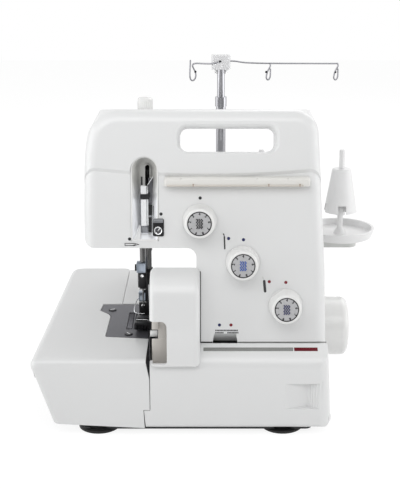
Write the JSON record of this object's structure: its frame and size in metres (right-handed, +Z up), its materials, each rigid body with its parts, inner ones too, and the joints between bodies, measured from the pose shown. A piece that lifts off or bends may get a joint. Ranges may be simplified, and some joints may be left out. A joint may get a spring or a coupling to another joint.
{
  "type": "overlock sewing machine",
  "caption": "Domestic overlock sewing machine with swing-out cloth plate, tilting looper cover, tension dials, handwheel, spool stand and telescopic thread pole.",
  "frame": {"origin": "on the table under the centre of the whole box, spool stand included", "axes": "+X to the handwheel side, +Y from the front to the spool stand, +Z up"},
  "size_m": [0.3405, 0.2762, 0.317],
  "materials": {
    "white_gloss_plastic": "glossy",
    "pale_grey_plastic": "satin",
    "grey_plastic": "satin",
    "white_pin_plastic": "satin",
    "cream_plastic": "satin",
    "black_plastic": "matte",
    "black_rubber": "matte",
    "grey_steel": "satin",
    "bright_chrome": "polished",
    "bright_steel": "ground",
    "black_steel": "blackened",
    "cast_frame": "as cast",
    "bronze": "sintered",
    "dark_pulley_plastic": "matte",
    "lamp_glass": "clear"
  },
  "bodies": {
    "machine": {"front_casing": "white_gloss_plastic", "rear_casing": "white_gloss_plastic", "base_tray": "black_plastic", "rubber_feet": "black_rubber", "plate_pivot": "bright_steel", "bed_cover": "white_gloss_plastic", "needle_plate": "grey_steel", "machine_frame": "cast_frame", "casing_screws": "bright_steel", "thread_guide_bar": "cream_plastic", "take_up_channel": "bright_chrome", "needle_thread_guide": "bright_chrome", "tension_discs": "bright_steel", "looper_guides": "bright_steel", "lower_knife": "bright_steel", "lower_knife_bracket": "bright_steel", "shaft_bushes": "bronze", "bar_bushes": "bronze", "drive_belt": "black_rubber", "motor": "cast_frame", "motor_bracket": "black_plastic", "power_inlet": "black_plastic", "sewing_lamp": "lamp_glass", "spool_stand": "grey_plastic", "spool_trays": "pale_grey_plastic", "spool_pins": "white_pin_plastic", "lower_pole": "bright_chrome"},
    "drive": {"handwheel": "white_gloss_plastic", "main_shaft": "bright_steel", "drive_pulley": "dark_pulley_plastic"},
    "motor_rotor": {"motor_pulley": "dark_pulley_plastic"},
    "needle_bar": {"needle_bar": "bright_steel", "needle_clamp": "bright_steel", "needle": "bright_steel"},
    "take_up": {"take_up_lever": "bright_chrome"},
    "upper_looper": {"upper_looper": "bright_steel"},
    "lower_looper": {"lower_looper": "bright_steel"},
    "upper_knife": {"upper_knife": "bright_steel", "knife_knob": "white_gloss_plastic"},
    "feed": {"feed_dogs": "bright_steel"},
    "presser": {"presser_bar": "bright_steel", "presser_foot": "black_steel", "presser_spring": "bright_steel"},
    "lifter": {"presser_lifter": "black_steel"},
    "pressure_knob": {"pressure_knob": "white_gloss_plastic"},
    "needle_dial": {"needle_tension_dial": "white_gloss_plastic"},
    "upper_dial": {"upper_looper_dial": "white_gloss_plastic"},
    "lower_dial": {"lower_looper_dial": "white_gloss_plastic"},
    "cover_slide": {"hinge_rod": "bright_steel"},
    "looper_cover": {"looper_cover": "white_gloss_plastic"},
    "cloth_plate": {"cloth_plate": "white_gloss_plastic"},
    "guide_pole": {"upper_pole": "bright_chrome", "thread_arm": "white_pin_plastic"},
    "cone_left": {"cone_holder_left": "pale_grey_plastic"},
    "cone_middle": {"cone_holder_middle": "pale_grey_plastic"},
    "cone_right": {"cone_holder_right": "pale_grey_plastic"},
    "power_switch": {"power_switch": "black_plastic"},
    "stitch_dial": {"stitch_length_dial": "white_gloss_plastic"},
    "differential_lever": {"differential_lever": "white_gloss_plastic"}
  },
  "joints": [
    {"name": "handwheel_turn", "type": "hinge", "parent": "machine", "child": "drive", "pos_m": [-0.00775, -0.01378, 0.062], "axis": [1, 0, 0], "continuous": true},
    {"name": "motor_turn", "type": "hinge", "parent": "machine", "child": "motor_rotor", "pos_m": [-0.00775, -0.00578, 0.15], "axis": [1, 0, 0], "continuous": true},
    {"name": "needle_stroke", "type": "slide", "parent": "machine", "child": "needle_bar", "axis": [0, 0, 1], "range_m": [-0.024, 0.002]},
    {"name": "take_up_swing", "type": "hinge", "parent": "machine", "child": "take_up", "pos_m": [-0.06375, -0.04978, 0.229], "axis": [1, 0, 0], "range_deg": [-1.5, 9]},
    {"name": "upper_looper_swing", "type": "hinge", "parent": "machine", "child": "upper_looper", "pos_m": [-0.01575, -0.04828, 0.044], "axis": [0, 1, 0], "range_deg": [-9, 1.5]},
    {"name": "lower_looper_swing", "type": "hinge", "parent": "machine", "child": "lower_looper", "pos_m": [-0.03975, -0.04028, 0.032], "axis": [0, 1, 0], "range_deg": [-10, 1.5]},
    {"name": "upper_knife_stroke", "type": "slide", "parent": "machine", "child": "upper_knife", "axis": [0, 0, 1], "range_m": [-0.0055, 0.001]},
    {"name": "feed_stroke", "type": "slide", "parent": "machine", "child": "feed", "axis": [0, 1, 0], "range_m": [-0.0015, 0.0015]},
    {"name": "lifter_turn", "type": "hinge", "parent": "machine", "child": "lifter", "pos_m": [-0.06875, 0.00222, 0.176], "axis": [1, 0, 0], "range_deg": [0, 25]},
    {"name": "presser_lift", "type": "slide", "parent": "machine", "child": "presser", "axis": [0, 0, 1], "range_m": [0, 0.0056], "deforming": ["presser_spring"]},
    {"name": "pressure_knob_turn", "type": "hinge", "parent": "machine", "child": "pressure_knob", "pos_m": [-0.06825, -0.02728, 0.285], "axis": [0, 0, 1], "range_deg": [-180, 180]},
    {"name": "needle_dial_turn", "type": "hinge", "parent": "machine", "child": "needle_dial", "pos_m": [-0.01695, -0.09687, 0.1944], "axis": [0, -0.9898, 0.1426], "range_deg": [-150, 150]},
    {"name": "upper_dial_turn", "type": "hinge", "parent": "machine", "child": "upper_dial", "pos_m": [0.02165, -0.10225, 0.1571], "axis": [0, -0.9898, 0.1426], "range_deg": [-150, 150]},
    {"name": "lower_dial_turn", "type": "hinge", "parent": "machine", "child": "lower_dial", "pos_m": [0.06065, -0.10788, 0.118], "axis": [0, -0.9898, 0.1426], "range_deg": [-150, 150]},
    {"name": "cover_shift", "type": "slide", "parent": "machine", "child": "cover_slide", "axis": [1, 0, 0], "range_m": [0, 0.008]},
    {"name": "cover_tilt", "type": "hinge", "parent": "cover_slide", "child": "looper_cover", "pos_m": [-0.00775, -0.12578, 0.015], "axis": [1, 0, 0], "range_deg": [0, 76]},
    {"name": "cloth_plate_swing", "type": "hinge", "parent": "machine", "child": "cloth_plate", "pos_m": [-0.10475, 0.12222, 0.04], "axis": [0, 0, -1], "range_deg": [0, 75]},
    {"name": "pole_lift", "type": "slide", "parent": "machine", "child": "guide_pole", "axis": [0, 0, 1], "range_m": [0, 0.12]},
    {"name": "cone_left_lift", "type": "slide", "parent": "machine", "child": "cone_left", "axis": [0, 0, 1], "range_m": [0, 0.06]},
    {"name": "cone_middle_lift", "type": "slide", "parent": "machine", "child": "cone_middle", "axis": [0, 0, 1], "range_m": [0, 0.06]},
    {"name": "cone_right_lift", "type": "slide", "parent": "machine", "child": "cone_right", "axis": [0, 0, 1], "range_m": [0, 0.06]},
    {"name": "power_switch_rock", "type": "hinge", "parent": "machine", "child": "power_switch", "pos_m": [0.09675, 0.03922, 0.058], "axis": [0, 0, 1], "range_deg": [-6, 6]},
    {"name": "stitch_dial_turn", "type": "hinge", "parent": "machine", "child": "stitch_dial", "pos_m": [0.09925, 0.03122, 0.14], "axis": [1, 0, 0], "range_deg": [-150, 150]},
    {"name": "differential_turn", "type": "hinge", "parent": "machine", "child": "differential_lever", "pos_m": [0.10025, 0.03422, 0.1], "axis": [1, 0, 0], "range_deg": [-20, 20]}
  ],
  "couplings": [
    {"joint": "motor_turn", "follows": "handwheel_turn", "ratio": 3.4444},
    {"joint": "take_up_swing", "follows": "needle_stroke", "rad_per_m": -5.8178},
    {"joint": "upper_looper_swing", "follows": "needle_stroke", "rad_per_m": 5.8178},
    {"joint": "lower_looper_swing", "follows": "needle_stroke", "rad_per_m": 6.545},
    {"joint": "upper_knife_stroke", "follows": "needle_stroke", "ratio": 0.20833},
    {"joint": "feed_stroke", "follows": "needle_stroke", "ratio": 0.058333},
    {"joint": "presser_lift", "follows": "lifter_turn", "m_per_rad": 0.012605}
  ]
}
